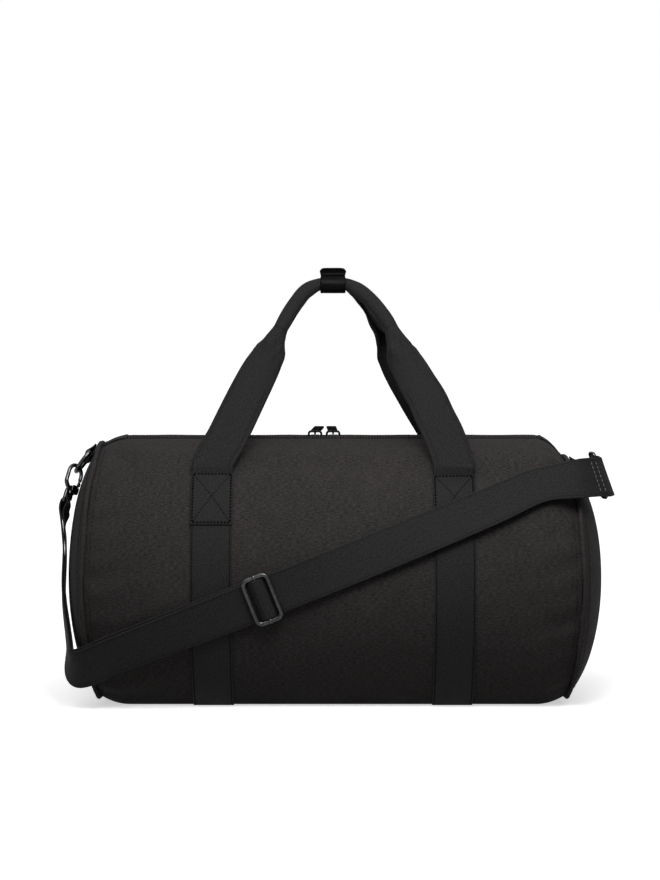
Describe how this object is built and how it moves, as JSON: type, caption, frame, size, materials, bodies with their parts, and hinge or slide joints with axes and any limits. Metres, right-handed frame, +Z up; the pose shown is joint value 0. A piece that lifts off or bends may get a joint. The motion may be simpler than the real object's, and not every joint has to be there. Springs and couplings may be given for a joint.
{
  "type": "duffel bag",
  "caption": "Black canvas barrel duffel bag with a top zip, webbing carry handles joined by a leather wrap, and a clip-on shoulder strap with an adjuster.",
  "frame": {"origin": "on the underside of the base panel, at the bag's middle", "axes": "+X along the bag to its right end, -Y the front that carries the shoulder strap, +Z up"},
  "size_m": [0.5227, 0.2652, 0.411],
  "materials": {
    "canvas": "heavy woven cotton canvas, matt, near black",
    "webbing": "flat woven webbing, near black, slightly cooler than the canvas",
    "lining": "thin woven lining, dark grey",
    "board": "stiffener board",
    "leather": "smooth black leather with a soft sheen",
    "nylon": "black nylon zip tape and coil",
    "gunmetal": "dark nickel-plated steel, polished"
  },
  "bodies": {
    "bag": {"back_left_handle_anchor": "webbing", "back_left_web": "webbing", "back_panel": "canvas", "back_right_handle_anchor": "webbing", "back_right_web": "webbing", "back_zip_coil": "nylon", "back_zip_gusset": "canvas", "back_zip_tape": "nylon", "base_board": "board", "base_panel": "canvas", "front_left_handle_anchor": "webbing", "front_left_web": "webbing", "front_panel": "canvas", "front_right_handle_anchor": "webbing", "front_right_web": "webbing", "front_zip_coil": "nylon", "front_zip_gusset": "canvas", "front_zip_tape": "nylon", "left_end_panel": "canvas", "left_end_piping": "canvas", "left_ring_tab": "webbing", "left_zip_end_tab": "canvas", "lining": "lining", "right_end_panel": "canvas", "right_end_piping": "canvas", "right_ring_tab": "webbing", "right_zip_end_tab": "canvas"},
    "left_slider": {"left_slider": "gunmetal"},
    "right_slider": {"right_slider": "gunmetal"},
    "left_pull": {"left_pull": "gunmetal"},
    "right_pull": {"right_pull": "gunmetal"},
    "left_ring": {"left_d_ring": "gunmetal"},
    "right_ring": {"right_d_ring": "gunmetal"},
    "front_handle": {"front_handle_left_leg": "webbing", "front_handle_grip": "webbing", "front_handle_right_leg": "webbing", "wrap_front": "leather", "wrap_stud": "gunmetal"},
    "back_handle": {"back_handle_left_leg": "webbing", "back_handle_grip": "webbing", "back_handle_right_leg": "webbing"},
    "wrap_flap": {"wrap_flap": "leather", "wrap_socket": "gunmetal"},
    "strap": {"shoulder_strap_webbing": "webbing", "left_strap_loop": "gunmetal", "right_strap_loop": "gunmetal"},
    "adjuster": {"adjuster_frame": "gunmetal", "adjuster_bar": "gunmetal", "adjuster_strap_fold": "webbing"},
    "left_hook": {"left_hook_body": "gunmetal", "left_hook_swivel_post": "gunmetal", "left_hook_gate_pin": "gunmetal"},
    "right_hook": {"right_hook_body": "gunmetal", "right_hook_swivel_post": "gunmetal", "right_hook_gate_pin": "gunmetal"},
    "left_gate": {"left_hook_gate": "gunmetal"},
    "right_gate": {"right_hook_gate": "gunmetal"}
  },
  "joints": [
    {"name": "left_zip_slide", "type": "slide", "parent": "bag", "child": "left_slider", "axis": [-1, 0, 0], "range_m": [0, 0.168]},
    {"name": "right_zip_slide", "type": "slide", "parent": "bag", "child": "right_slider", "axis": [1, 0, 0], "range_m": [0, 0.18]},
    {"name": "left_pull_flip", "type": "hinge", "parent": "left_slider", "child": "left_pull", "pos_m": [-0.01715, 0, 0.2539], "axis": [1, 0, 0], "range_deg": [0, 155]},
    {"name": "left_ring_swing", "type": "hinge", "parent": "bag", "child": "left_ring", "pos_m": [-0.23482, 0, 0.2301], "axis": [-0.1952, 0.9038, -0.3808], "range_deg": [-1, 1]},
    {"name": "right_pull_flip", "type": "hinge", "parent": "right_slider", "child": "right_pull", "pos_m": [0.00015, 0, 0.2539], "axis": [1, 0, 0], "range_deg": [0, 155]},
    {"name": "right_ring_swing", "type": "hinge", "parent": "bag", "child": "right_ring", "pos_m": [0.2366, 0, 0.21748], "axis": [-0.383, -0.7049, 0.5971], "range_deg": [-1, 1]},
    {"name": "front_handle_swing", "type": "hinge", "parent": "bag", "child": "front_handle", "pos_m": [0, -0.08331, 0.22265], "axis": [1, 0, 0], "range_deg": [0, 118]},
    {"name": "back_handle_swing", "type": "hinge", "parent": "bag", "child": "back_handle", "pos_m": [0, 0.08331, 0.22265], "axis": [-1, 0, 0], "range_deg": [0, 118]},
    {"name": "wrap_open", "type": "hinge", "parent": "front_handle", "child": "wrap_flap", "pos_m": [0, 0, 0.38695], "axis": [-1, 0, 0], "range_deg": [0, 118], "deforming": ["wrap_flap"]},
    {"name": "strap_swing", "type": "hinge", "parent": "bag", "child": "strap", "pos_m": [-0.24575, -0.00798, 0.21676], "axis": [-0.9998, 0.0191, 0.0028], "range_deg": [0, 10]},
    {"name": "adjuster_slide", "type": "slide", "parent": "strap", "child": "adjuster", "axis": [0.9302, -0.0184, 0.3665], "range_m": [-0.02, 0.02]},
    {"name": "left_hook_swivel", "type": "hinge", "parent": "strap", "child": "left_hook", "pos_m": [-0.25479, -0.02637, 0.18218], "axis": [0.225, 0.4574, 0.8603], "range_deg": [-5, 3]},
    {"name": "left_gate_open", "type": "hinge", "parent": "left_hook", "child": "left_gate", "pos_m": [-0.24613, -0.01179, 0.19924], "axis": [0.7896, -0.6029, 0.1141], "range_deg": [0, 26], "stiffness_Nm_per_rad": 0.02, "springref_deg": -11.46},
    {"name": "right_hook_swivel", "type": "hinge", "parent": "strap", "child": "right_hook", "pos_m": [0.25071, -0.05644, 0.21541], "axis": [-0.225, 0.9744, 0], "range_deg": [-5, 5]},
    {"name": "right_gate_open", "type": "hinge", "parent": "right_hook", "child": "right_gate", "pos_m": [0.24625, -0.03356, 0.22136], "axis": [-0.9656, -0.2229, 0.1341], "range_deg": [0, 26], "stiffness_Nm_per_rad": 0.02, "springref_deg": -11.46}
  ],
  "couplings": [
    {"joint": "back_handle_swing", "follows": "front_handle_swing", "ratio": 1},
    {"joint": "wrap_open", "follows": "front_handle_swing", "ratio": 1}
  ]
}
